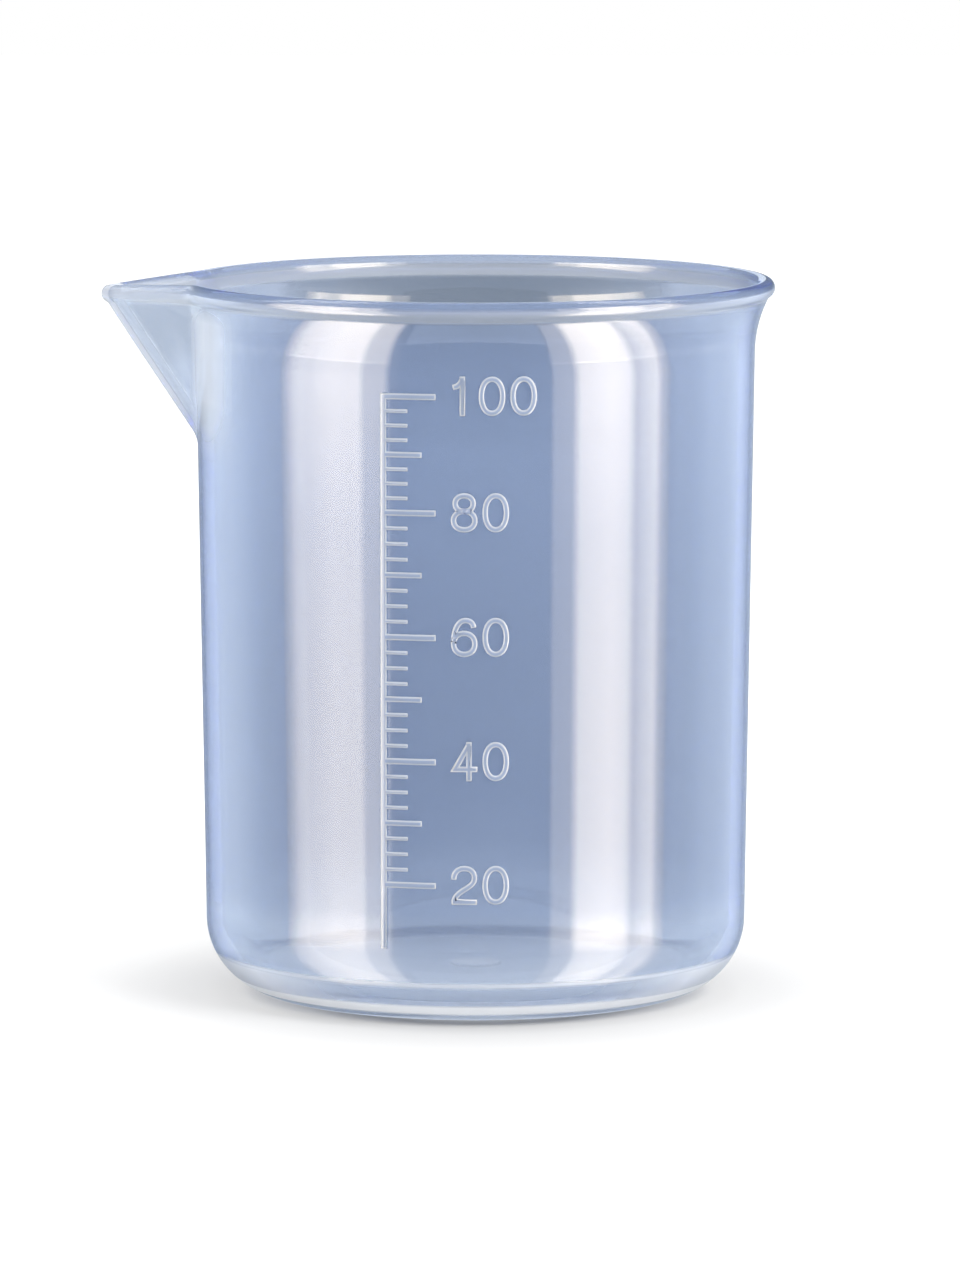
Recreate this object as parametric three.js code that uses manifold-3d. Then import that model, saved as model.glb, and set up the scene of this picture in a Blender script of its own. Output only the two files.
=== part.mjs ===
// A clear moulded measuring cup: a slightly tapered round body on a flat base, a flared rim with a
// rolled lip that is drawn out into a V spout, and a raised volume scale on the front of the wall.
// Millimetres, +Z up. The origin is where the cup's axis meets the table, the spout points to -X
// and the scale faces -Y.

import * as THREE from "three";
import { mergeGeometries, mergeVertices } from "three/addons/utils/BufferGeometryUtils.js";
import Module from "manifold-3d";

const { clamp, degToRad, lerp } = THREE.MathUtils;

// Body
const cupHeight = 68; // table to the crest of the rim
const baseRadius = 25.54; // outer wall, carried straight down to the table
const wallDraft = degToRad(0.865); // the wall leans outwards as it rises
const wallThickness = 1.5;
const floorThickness = 1.6;
const footRounding = 7.2; // outer rounding between the underside and the wall

// Rim
const rimFlare = 1.8; // the rolled lip stands out from the line of the wall by this much
const lipDiameter = 1.7;
const lipOverhang = 0.1; // how far the lip stands out beyond the flared wall
const lipUndercut = degToRad(60); // how far round its underside the lip is free of the wall
const flareHeight = 6.95; // the wall starts to turn outwards this far below the crest

// Spout
const spoutLength = 7.05; // outside of the lip to the nose of the spout
const spoutWidth = 17.2; // across the roots of the V at the rim
const spoutDepth = 15.2; // crest of the rim down to the foot of the keel
const spoutWall = 1; // thinner than the body
const spoutDroop = 0.65; // the nose dips below the rest of the rim
const keelSetback = 0.45; // the rounded keel stands back from a sharp V by this much
const creaseFillet = 0.5; // softens the crease between the spout and the wall

// Raised scale in front view: a spine with bars on its right
const scaleRelief = 0.3; // height above the wall
const spineLeft = -8.8;
const spineWidth = 0.6;
const spineLift = 0.4; // the spine starts this far above the rounding of the foot
const longBar = { length: 4.55, thickness: 0.6 };
const middleBar = { length: 3.25, thickness: 0.55 };
const shortBar = { length: 1.95, thickness: 0.37 };

// Steps of the scale: its lowest bar stands for 20 ml, and each step up adds 2.5 ml
const scaleSteps = 32;
const stepsPerMiddleBar = 4;
const stepsPerLongBar = 8;
const lowerSteps = 24; // above these the wider body needs less height for the same volume
const firstBarHeight = 13.67;
const barPitch = 1.4475;
const upperBarPitch = 1.3475;

// Round moulding mark in the middle of the floor
const gateDiameter = 4.8;
const gateHeight = 0.4;
const gateEdge = 0.15; // bevel round its top

const seatGap = 0.03; // between pieces that sit on one another

// How finely curves are divided
const spoutSegments = 28;
const bodySegments = 56;
const fineSector = 1.3; // the finer sector reaches past the roots of the V by this factor
const sleeveSegments = 180;
const gateSegments = 32;
const roundingSteps = 6;
const flareSteps = 5;
const lipSteps = 8;
const keelSteps = 6;

// Wall and rim, as radii at a height
const lipRadius = lipDiameter / 2;
const lipHeight = cupHeight - lipRadius;
const flareFoot = cupHeight - flareHeight;

const outerWall = (z) => baseRadius + z * Math.tan(wallDraft);

const rimRadius = outerWall(lipHeight) + rimFlare;
const flareRise = lipHeight - flareFoot;
const flareReach = rimFlare - lipOverhang;
const flareRadius = (flareRise ** 2 + flareReach ** 2) / (2 * flareReach);

// Outside of the wall, with the flare as an arc that leaves the wall smoothly.
function outerSkin(z) {
  const rise = Math.max(0, z - flareFoot);
  return outerWall(z) + flareRadius - Math.sqrt(flareRadius ** 2 - rise ** 2);
}

const innerSkin = (z) => outerSkin(z) - wallThickness;

// Plan of the V: its sides run from a sharp keel to the roots on the rim.
const keelFoot = cupHeight - spoutDepth;
const keelAtLip = rimRadius + spoutLength - lipOverhang;
const keelSlope = (keelAtLip - outerWall(keelFoot)) / (lipHeight - keelFoot);
const rootAngle = Math.asin(spoutWidth / 2 / outerSkin(lipHeight));
const rootInset = outerSkin(lipHeight) * Math.cos(rootAngle);
const vHalfAngle = Math.atan2(spoutWidth / 2, keelAtLip + keelSetback - rootInset);
const vCotangent = 1 / Math.tan(vHalfAngle);

// The inner keel lies where the flat sides of the V come out spoutWall thick.
const sideOffset = spoutWall * Math.sqrt(1 + vCotangent ** 2 + keelSlope ** 2);
const innerSetback = Math.max(0, keelSetback - spoutWall * (1 / Math.sin(vHalfAngle) - 1));
const keelThickness = sideOffset + innerSetback - keelSetback;

const outerKeel = (z) => outerWall(keelFoot) + (z - keelFoot) * keelSlope;
const innerKeel = (z) => outerKeel(z) - keelThickness;

// Lowest height that the spout changes, on either side of the wall.
const keelLead = keelSlope - Math.tan(wallDraft);
const innerKeelFoot = keelFoot - (wallThickness - keelThickness) / keelLead;
const spoutFoot = Math.min(keelFoot, innerKeelFoot) - creaseFillet / keelLead;

// The larger of two radii, with the corner between them filleted.
function filletedMax(a, b) {
  const overlap = Math.max(0, creaseFillet - Math.abs(a - b));
  return Math.max(a, b) + overlap ** 2 / (4 * creaseFillet);
}

// How far the V stands out of a circle at an angle from the keel. In plan the V with its rounded
// keel is a hyperbola.
function standOut(circle, keel, setback, angle) {
  if (keel + creaseFillet <= circle || Math.abs(angle) > Math.PI / 2 - vHalfAngle) return 0;
  const apex = keel + setback;
  const run = apex ** 2 - setback ** 2;
  const ahead = Math.cos(angle);
  const aside = Math.sin(angle) * vCotangent;
  const vee = run / (apex * ahead + Math.sqrt((ahead * setback) ** 2 + aside ** 2 * run));
  return filletedMax(circle, vee) - circle;
}

// Draws the rim and the upper wall out into the spout.
function drawSpout(geometry) {
  const position = geometry.getAttribute("position");
  const fullPull = standOut(outerSkin(lipHeight), keelAtLip, keelSetback, 0);
  for (let i = 0; i < position.count; i++) {
    const x = position.getX(i);
    const y = position.getY(i);
    const z = position.getZ(i);
    const radius = Math.hypot(x, y);
    const angle = Math.atan2(y, -x);
    const level = Math.min(z, lipHeight); // the lip keeps its round section
    const outerPull = standOut(outerSkin(level), outerKeel(level), keelSetback, angle);
    const innerPull = standOut(innerSkin(level), innerKeel(level), innerSetback, angle);
    const depth = clamp((radius - innerSkin(level)) / wallThickness, 0, 1);
    const pull = lerp(innerPull, outerPull, depth);
    if (pull === 0) continue;
    const stretch = 1 + pull / radius;
    position.setXYZ(i, x * stretch, y * stretch, z - (spoutDroop * pull) / fullPull);
  }
}

// Points of an arc in the profile plane, both ends included.
function arc(centreRadius, centreHeight, radius, from, to, steps) {
  const points = [];
  for (let i = 0; i <= steps; i++) {
    const angle = lerp(from, to, i / steps);
    const x = centreRadius + radius * Math.cos(angle);
    points.push(new THREE.Vector2(x, centreHeight + radius * Math.sin(angle)));
  }
  return points;
}

// Points of one side of the wall between two heights, both ends included.
function wallRows(skin, from, to, steps) {
  const points = [];
  for (let i = 0; i <= steps; i++) {
    const z = lerp(from, to, i / steps);
    points.push(new THREE.Vector2(skin(z), z));
  }
  return points;
}

// Section of the cup, from the middle of the underside, up the outside, over the lip and down the
// inside to the middle of the floor.
function cupProfile() {
  const quarter = Math.PI / 2;
  const footCentre = outerWall(footRounding) - footRounding;
  const innerRounding = footRounding - wallThickness;
  const innerCorner = floorThickness + innerRounding;
  const innerCentre = innerSkin(innerCorner) - innerRounding;
  const lipFoot = lipHeight - lipRadius;
  return [
    new THREE.Vector2(0, 0),
    ...arc(footCentre, footRounding, footRounding, -quarter, 0, roundingSteps),
    ...wallRows(outerSkin, spoutFoot, flareFoot, keelSteps),
    ...wallRows(outerSkin, flareFoot, lipFoot, flareSteps).slice(1),
    ...arc(rimRadius - lipRadius, lipHeight, lipRadius, -lipUndercut, Math.PI, lipSteps),
    ...wallRows(innerSkin, lipFoot, flareFoot, flareSteps),
    ...wallRows(innerSkin, flareFoot, spoutFoot, keelSteps).slice(1),
    ...arc(innerCentre, innerCorner, innerRounding, 0, -quarter, roundingSteps),
    new THREE.Vector2(0, floorThickness),
  ];
}

// Leaves only positions and joins the vertices that coincide.
function weld(geometry) {
  geometry.deleteAttribute("normal");
  geometry.deleteAttribute("uv");
  return mergeVertices(geometry);
}

// Revolves a profile about +Z, sector by sector. Angles start at -Y and turn towards +X.
function revolve(profile, sectors) {
  const parts = sectors.map(({ start, sweep, segments }) =>
    new THREE.LatheGeometry(profile, segments, start, sweep).rotateX(Math.PI / 2),
  );
  return weld(mergeGeometries(parts));
}

const fullTurn = (segments) => [{ start: 0, sweep: 2 * Math.PI, segments }];

// The cup, divided more finely round the spout.
function shellGeometry() {
  const keel = -Math.PI / 2;
  const spoutSweep = 2 * fineSector * rootAngle;
  const geometry = revolve(cupProfile(), [
    { start: keel - spoutSweep / 2, sweep: spoutSweep, segments: spoutSegments },
    { start: keel + spoutSweep / 2, sweep: 2 * Math.PI - spoutSweep, segments: bodySegments },
  ]);
  drawSpout(geometry);
  return geometry;
}

// Height of a bar above the table, by its step from the lowest.
function barHeight(step) {
  const lower = Math.min(step, lowerSteps);
  return firstBarHeight + lower * barPitch + (step - lower) * upperBarPitch;
}

function barKind(step) {
  if (step % stepsPerLongBar === 0) return longBar;
  return step % stepsPerMiddleBar === 0 ? middleBar : shortBar;
}

// Outline of the scale in front view: up the right of the spine, round each bar that fits under the
// flare, then down the left.
function scaleOutline() {
  const spineRight = spineLeft + spineWidth;
  const spineBottom = footRounding + spineLift;
  const outline = new THREE.Shape();
  outline.moveTo(spineLeft, spineBottom);
  outline.lineTo(spineRight, spineBottom);
  let top = spineBottom;
  for (let step = 0; step <= scaleSteps; step++) {
    const { length, thickness } = barKind(step);
    const bottom = barHeight(step) - thickness / 2;
    if (bottom + thickness > flareFoot) break;
    top = bottom + thickness;
    outline.lineTo(spineRight, bottom);
    outline.lineTo(spineRight + length, bottom);
    outline.lineTo(spineRight + length, top);
    outline.lineTo(spineRight, top);
  }
  outline.lineTo(spineLeft, top);
  return outline;
}

const wasm = await Module();
wasm.setup();

function solidFrom(geometry) {
  const welded = weld(geometry);
  const vertProperties = welded.getAttribute("position").array;
  const triVerts = new Uint32Array(welded.index.array);
  return new wasm.Manifold(new wasm.Mesh({ numProp: 3, vertProperties, triVerts }));
}

function geometryFrom(solid) {
  const { vertProperties, triVerts } = solid.getMesh();
  return new THREE.BufferGeometry()
    .setAttribute("position", new THREE.BufferAttribute(vertProperties, 3))
    .setIndex(new THREE.BufferAttribute(triVerts, 1));
}

// The outline drawn straight forward through a thin sleeve round the wall, as a mould draws it.
function scaleGeometry() {
  const seat = (z) => outerWall(z) + seatGap;
  const sleeve = [
    new THREE.Vector2(seat(0), 0),
    new THREE.Vector2(seat(0) + scaleRelief, 0),
    new THREE.Vector2(seat(cupHeight) + scaleRelief, cupHeight),
    new THREE.Vector2(seat(cupHeight), cupHeight),
    new THREE.Vector2(seat(0), 0),
  ];
  const ring = revolve(sleeve, fullTurn(sleeveSegments));
  const depth = seat(cupHeight) + scaleRelief;
  const stamp = new THREE.ExtrudeGeometry(scaleOutline(), { depth, bevelEnabled: false });
  stamp.rotateX(Math.PI / 2);
  return geometryFrom(solidFrom(ring).intersect(solidFrom(stamp)));
}

function gateGeometry() {
  const radius = gateDiameter / 2;
  const profile = [
    new THREE.Vector2(0, 0),
    new THREE.Vector2(radius, 0),
    new THREE.Vector2(radius, gateHeight - gateEdge),
    new THREE.Vector2(radius - gateEdge, gateHeight),
    new THREE.Vector2(0, gateHeight),
  ];
  return revolve(profile, fullTurn(gateSegments));
}

const clearBlue = new THREE.MeshStandardMaterial({
  color: 0xb9cbe8,
  roughness: 0.12,
  metalness: 0,
  transparent: true,
  opacity: 0.5,
});
const paleRelief = new THREE.MeshStandardMaterial({
  color: 0xdfe7f2,
  roughness: 0.2,
  metalness: 0,
  transparent: true,
  opacity: 0.7,
});

function namedMesh(name, geometry, material) {
  const mesh = new THREE.Mesh(geometry, material);
  mesh.name = name;
  return mesh;
}

const shell = namedMesh("cup_shell", shellGeometry(), clearBlue);
const scale = namedMesh("graduation_scale", scaleGeometry(), paleRelief);
const gate = namedMesh("gate_mark", gateGeometry(), paleRelief);
gate.position.z = floorThickness + seatGap;

const cup = new THREE.Group();
cup.add(shell, scale, gate);

export default cup;
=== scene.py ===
"""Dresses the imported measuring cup: a clear blue moulding with a raised scale and numbers.

Everything is in metres in the frame of the solids: +Z up, the spout to -X, the scale to -Y.
"""

import logging
import math
from dataclasses import dataclass
from enum import Enum
from functools import cached_property
from typing import Any, Callable

import bmesh
import bpy
from bmesh.types import BMesh, BMFace, BMVert
from bpy.types import Material, Node, NodeSocket, NodeTree, Object
from mathutils import Matrix, Vector
from mathutils.geometry import interpolate_bezier


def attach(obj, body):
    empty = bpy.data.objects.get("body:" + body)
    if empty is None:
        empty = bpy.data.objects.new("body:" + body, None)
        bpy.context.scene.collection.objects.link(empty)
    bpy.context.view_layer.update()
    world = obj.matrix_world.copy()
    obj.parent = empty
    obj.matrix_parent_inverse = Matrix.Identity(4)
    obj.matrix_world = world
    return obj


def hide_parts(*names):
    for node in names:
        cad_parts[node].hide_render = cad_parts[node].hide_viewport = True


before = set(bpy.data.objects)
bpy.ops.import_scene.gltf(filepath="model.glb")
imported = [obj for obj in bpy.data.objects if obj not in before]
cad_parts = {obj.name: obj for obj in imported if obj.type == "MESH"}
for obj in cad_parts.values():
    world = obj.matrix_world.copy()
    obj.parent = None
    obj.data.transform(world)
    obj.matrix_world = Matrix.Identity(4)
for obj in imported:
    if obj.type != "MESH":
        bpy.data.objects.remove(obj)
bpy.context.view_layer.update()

LOG = logging.getLogger("measuring_cup")
MM = 0.001
WELD = 0.001 * MM
NEAR = 0.01 * MM
EDGE_LAYER = "edge"
Colour = tuple[float, float, float, float]
Point = tuple[float, float]
Stops = tuple[Point, ...]
Stroke = list[Stops]
Triple = tuple[float, float, float]
BLACK: Colour = (0.0, 0.0, 0.0, 1.0)
WHITE: Colour = (1.0, 1.0, 1.0, 1.0)


class Slot(Enum):
    """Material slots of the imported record."""

    BODY = "clear_body"
    MARKS = "raised_marks"


class Ray(Enum):
    """Kinds of rays, by the names of an object's visibility settings."""

    CAMERA = "camera"
    DIFFUSE = "diffuse"
    GLOSSY = "glossy"
    TRANSMISSION = "transmission"
    SHADOW = "shadow"


class Term:
    """A float socket that takes part in Python arithmetic, one Math node for each operation."""

    def __init__(self, graph: "Graph", socket: NodeSocket) -> None:
        """Wraps a socket of the graph."""
        self.graph = graph
        self.socket = socket

    def _math(self, operation: str, left: Any, right: Any) -> "Term":
        """Result of a Math node on two operands, each a term or a number."""
        node = self.graph.node("ShaderNodeMath", {0: left, 1: right}, {"operation": operation})
        return Term(self.graph, node.outputs[0])

    def __add__(self, other: Any) -> "Term":
        """Sum with a term or a number."""
        return self._math("ADD", self, other)

    def __sub__(self, other: Any) -> "Term":
        """Difference from a term or a number."""
        return self._math("SUBTRACT", self, other)

    def __rsub__(self, other: Any) -> "Term":
        """Difference with a number on the left."""
        return self._math("SUBTRACT", other, self)

    def __mul__(self, other: Any) -> "Term":
        """Product with a term or a number."""
        return self._math("MULTIPLY", self, other)

    __radd__ = __add__
    __rmul__ = __mul__

    def at_most(self, limit: Any) -> "Term":
        """The smaller of this and a limit."""
        return self._math("MINIMUM", self, limit)

    def at_least(self, limit: Any) -> "Term":
        """The larger of this and a limit."""
        return self._math("MAXIMUM", self, limit)

    def beyond(self, start: float, run: float) -> "Term":
        """How far this has gone from a start along a run, from 0 to 1; a run below 0 goes down."""
        return ((self - start) * (1 / run)).at_least(0.0).at_most(1.0)


class Graph:
    """Node tree of a material or of the world."""

    def __init__(self, tree: NodeTree) -> None:
        """Starts from an empty tree."""
        self.tree = tree
        self.tree.nodes.clear()

    def node(
        self,
        kind: str,
        inputs: dict[int | str, Any] | None = None,
        settings: dict[str, Any] | None = None,
    ) -> Node:
        """Adds a node.

        Args:
            kind: The node's type.
            inputs: Values, sockets or terms of its input sockets, by name or place.
            settings: Properties of the node, set before its sockets.

        Returns:
            The node.
        """
        made = self.tree.nodes.new(kind)
        for name, value in (settings or {}).items():
            setattr(made, name, value)
        for key, value in (inputs or {}).items():
            source = value.socket if isinstance(value, Term) else value
            if isinstance(source, NodeSocket):
                self.tree.links.new(source, made.inputs[key])
            else:
                made.inputs[key].default_value = source
        return made

    def term(self, node: Node, output: int | str = 0) -> Term:
        """One output of a node as a term."""
        return Term(self, node.outputs[output])

    def ray(self, kind: Ray) -> Term:
        """1 for rays of a kind, else 0."""
        return self.term(self.node("ShaderNodeLightPath"), f"Is {kind.value.title()} Ray")

    def lit(self, share: float) -> Term:
        """1 for what is seen directly, reflected or through the cup, and a share for plain light."""
        seen = self.ray(Ray.CAMERA).at_least(self.ray(Ray.GLOSSY))
        return share + seen.at_least(self.ray(Ray.TRANSMISSION)) * (1 - share)

    def place(self) -> NodeSocket:
        """Place on the object, or direction in the world."""
        return self.node("ShaderNodeTexCoord").outputs["Object"]

    def axes(self) -> list[Term]:
        """The place as three terms: across, deep and up."""
        split = self.node("ShaderNodeSeparateXYZ", {0: self.place()})
        return [self.term(split, axis) for axis in range(3)]

    def stretched(self, factors: Triple) -> NodeSocket:
        """The place with a factor on each axis."""
        return self.node("ShaderNodeMapping", {0: self.place(), "Scale": factors}).outputs[0]

    def length(self, vector: NodeSocket) -> Term:
        """Length of a vector."""
        measure = self.node("ShaderNodeVectorMath", {0: vector}, {"operation": "LENGTH"})
        return self.term(measure, "Value")

    def ramp(self, value: Term, stops: Stops) -> Term:
        """Level that follows a value.

        Args:
            value: The value.
            stops: Value and level of each stop, in order.

        Returns:
            The level at the value, which stays the same beyond the first and the last stop.
        """
        first, last = stops[0][0], stops[-1][0]
        made = self.node("ShaderNodeValToRGB", {0: value.beyond(first, last - first)})
        elements = made.color_ramp.elements
        while len(elements) < len(stops):
            elements.new(1.0)
        for element, (at, level) in zip(elements, stops):
            element.position = (at - first) / (last - first)
            element.color = (level, level, level, 1.0)
        return self.term(made)

    def blend(self, share: Any, low: Any, high: Any) -> NodeSocket:
        """Mix of two colours, or of their sockets, by a share of the second that may pass 1."""
        open_mix = {"data_type": "RGBA", "clamp_factor": False}
        return self.node("ShaderNodeMix", {0: share, 6: low, 7: high}, open_mix).outputs[2]

    def noise(self, scale: float, detail: float, stretch: Triple) -> Term:
        """Cloudy pattern from 0 to 1, in repeats a metre; a stretch below 1 makes it longer."""
        sockets = {"Vector": self.stretched(stretch), "Scale": scale, "Detail": detail}
        return self.term(self.node("ShaderNodeTexNoise", sockets))

    def shine(self, colour: Any, strength: float = 1.0) -> None:
        """Makes the material a plain light of a colour."""
        light = self.node("ShaderNodeEmission", {"Color": colour, "Strength": strength})
        self.node("ShaderNodeOutputMaterial", {"Surface": light.outputs[0]})


def new_material(name: str) -> tuple[Material, Graph]:
    """Makes a material with an empty node tree.

    Args:
        name: Name of the material.

    Returns:
        The material and its graph.
    """
    material = bpy.data.materials.new(name)
    material.use_nodes = True
    return material, Graph(material.node_tree)


@dataclass(frozen=True)
class Moulding:
    """Moulded plastic, see-through or not, with faint flow marks; some kinds also have painted
    light, a paler tint in chosen places.
    """

    name: str
    tint: Colour
    pale_tint: Colour
    transmission: float
    alpha: float = 0.87
    ior: float = 1.5
    roughness: float = 0.05
    roughness_spread: float = 0.015
    coat: float = 1.0
    coat_roughness: float = 0.05
    glow: float = 0.25
    glow_tint: Colour = (0.5, 0.7, 1.0, 1.0)
    glow_roughness: float = 0.4
    absorption: Colour = (0.45, 0.65, 1.0, 1.0)
    density: float = 100.0
    grain_scale: float = 900.0
    grain_detail: float = 3.0
    flow_scale: float = 60.0
    flow_detail: float = 2.0
    flow_stretch: Triple = (1.0, 1.0, 0.25)
    flow_share: float = 1.0

    def pale_places(self, graph: Graph) -> float | Term:
        """Where the tint is painted paler to stand for light, from 0 to 1; nowhere in plain
        moulding.
        """
        return 0.0

    def paleness(self, graph: Graph) -> Term:
        """Share of the paler tint at a place, from 0 to 1: flow marks and painted light."""
        flow = graph.noise(self.flow_scale, self.flow_detail, self.flow_stretch)
        return flow * self.flow_share + self.pale_places(graph) * (1 - self.flow_share)

    def gloss(self, graph: Graph) -> float | Term:
        """Strength of the polished skin."""
        return self.coat

    def surface(self, graph: Graph) -> NodeSocket:
        """Adds the finish's shader.

        Args:
            graph: Graph of the material.

        Returns:
            The shader's socket.
        """
        grain = graph.noise(self.grain_scale, self.grain_detail, (1.0, 1.0, 1.0))
        clear = graph.node(
            "ShaderNodeBsdfPrincipled",
            {
                "Base Color": graph.blend(self.paleness(graph), self.tint, self.pale_tint),
                "Roughness": self.roughness + self.roughness_spread * (grain - 0.5),
                "IOR": self.ior,
                "Transmission Weight": self.transmission,
                "Alpha": self.alpha,
                "Coat Weight": self.gloss(graph),
                "Coat Roughness": self.coat_roughness,
                "Sheen Weight": self.glow,
                "Sheen Tint": self.glow_tint,
                "Sheen Roughness": self.glow_roughness,
            },
        )
        return clear.outputs[0]

    def material(self) -> Material:
        """Makes the finish's material.

        Returns:
            The material.
        """
        material, graph = new_material(self.name)
        inside = {"Color": self.absorption, "Density": self.density}
        depth = graph.node("ShaderNodeVolumeAbsorption", inside)
        links = {"Surface": self.surface(graph), "Volume": depth.outputs[0]}
        graph.node("ShaderNodeOutputMaterial", links)
        return material


@dataclass(frozen=True)
class CupPlastic(Moulding):
    """Plastic of the cup, with painted light: a paler tint in its foot and spout, and white painted
    highlight lines along its edges.

    A pair named line is the two ends of a painted highlight line. Any other pair is the start of a
    fade and its run, as Term.beyond takes them.
    """

    flow_share: float = 0.12
    pale_foot: Point = (11 * MM, -7 * MM)
    floor_edge: Point = (20 * MM, -3 * MM)
    floor_share: float = 0.6
    spout_start: Point = (-25 * MM, -1.5 * MM)
    spout_foot: Point = (51 * MM, 6 * MM)
    spout_share: float = 0.58
    keel_side: Point = (2.2 * MM, -2.2 * MM)
    dull_foot: Point = (7.2 * MM, 1.5 * MM)
    dull_share: float = 0.85
    polished_top: Point = (46 * MM, 14 * MM)
    polished_share: float = 0.4
    # Painted highlights: a white finish mixed in along thin lines, with the shares below.
    milk: Colour = (0.93, 0.95, 0.98, 1.0)
    milk_roughness: float = 0.3
    line_fade: float = 0.3 * MM
    foot_line: Point = (0.8 * MM, 2.1 * MM)
    foot_milk: float = 0.9
    side_line: Point = (0.8 * MM, 4.2 * MM)
    side_front: Point = (-22 * MM, 8 * MM)
    side_back: Point = (6 * MM, -6 * MM)
    side_milk: float = 0.55
    floor_line: Point = (3.75 * MM, 4.5 * MM)
    floor_front: Point = (-3 * MM, -9 * MM)
    floor_milk: float = 0.45
    lip_line: Point = (65.9 * MM, 67.4 * MM)
    lip_milk: float = 0.2
    keel_line: Point = (-1.2 * MM, 1.2 * MM)
    keel_milk: float = 0.5
    root_inner: Point = (-22.5 * MM, -2.5 * MM)
    root_outer: Point = (-27 * MM, 1.5 * MM)
    root_top: Point = (66.5 * MM, -2 * MM)
    root_milk: float = 0.45

    def spout(self, across: Term, up: Term) -> Term:
        """1 on the spout and 0 on the body."""
        return across.beyond(*self.spout_start) * up.beyond(*self.spout_foot)

    def pale_places(self, graph: Graph) -> Term:
        """Painted light: the foot is paler, less so in the floor, and the spout too, most along its
        keel.

        Args:
            graph: Graph of the material.

        Returns:
            How much paler the painted light makes a place, from 0 to 1.
        """
        across, deep, up = graph.axes()
        flat = graph.node("ShaderNodeCombineXYZ", {0: across, 1: deep})
        floor = graph.length(flat.outputs[0]).beyond(*self.floor_edge)
        foot = up.beyond(*self.pale_foot) * (1 - floor * self.floor_share)
        spout = self.spout(across, up)
        keel = spout * deep.at_least(0 - deep).beyond(*self.keel_side)
        return foot.at_least(keel).at_least(spout * self.spout_share)

    def gloss(self, graph: Graph) -> Term:
        """Polished skin, less in the round of the foot and most near the rim.

        Args:
            graph: Graph of the material.

        Returns:
            The skin's strength.
        """
        up = graph.axes()[2]
        foot = 1 - up.beyond(*self.dull_foot)
        body = 1 - up.beyond(*self.polished_top)
        return self.coat * (1 - self.dull_share * foot) * (1 - self.polished_share * body)

    def line(self, value: Term, ends: Point) -> Term:
        """1 where a value lies between two ends, with soft edges."""
        return value.beyond(ends[0], self.line_fade) * value.beyond(ends[1], -self.line_fade)

    def milkiness(self, graph: Graph) -> Term:
        """Painted highlights: white lines along the foot, the floor, the lip and the spout.

        Args:
            graph: Graph of the material.

        Returns:
            Share of the painted highlight at a place, from 0 to 1.
        """
        across, deep, up = graph.axes()
        foot = self.line(up, self.foot_line) * self.foot_milk
        around = deep.beyond(*self.side_front) * deep.beyond(*self.side_back)
        side = self.line(up, self.side_line) * around * self.side_milk
        floor = self.line(up, self.floor_line) * deep.beyond(*self.floor_front) * self.floor_milk
        lip = self.line(up, self.lip_line) * self.lip_milk
        keel = self.spout(across, up) * self.line(deep, self.keel_line) * self.keel_milk
        height = up.beyond(*self.spout_foot) * up.beyond(*self.root_top)
        width = across.beyond(*self.root_outer) * across.beyond(*self.root_inner)
        root = width * height * self.root_milk
        return foot.at_least(side).at_least(floor).at_least(lip).at_least(keel).at_least(root)

    def surface(self, graph: Graph) -> NodeSocket:
        """Adds the clear shader with a white one mixed in along the edges as painted highlights.

        Args:
            graph: Graph of the material.

        Returns:
            The shader's socket.
        """
        highlight_shader = graph.node(
            "ShaderNodeBsdfPrincipled",
            {"Base Color": self.milk, "Roughness": self.milk_roughness, "IOR": self.ior},
        )
        shaders = {1: super().surface(graph), 2: highlight_shader.outputs[0]}
        return graph.node("ShaderNodeMixShader", {0: self.milkiness(graph), **shaders}).outputs[0]


@dataclass(frozen=True)
class ReliefPlastic(Moulding):
    """Plastic of the raised marks, whose rounded edges are painted paler than their tops as a
    painted highlight.
    """

    flow_share: float = 0.1

    def pale_places(self, graph: Graph) -> Term:
        """Painted highlight on the rounded edges, by the attribute of their faces."""
        mark = graph.node("ShaderNodeAttribute", settings={"attribute_name": EDGE_LAYER})
        return graph.term(mark, "Fac")


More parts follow.
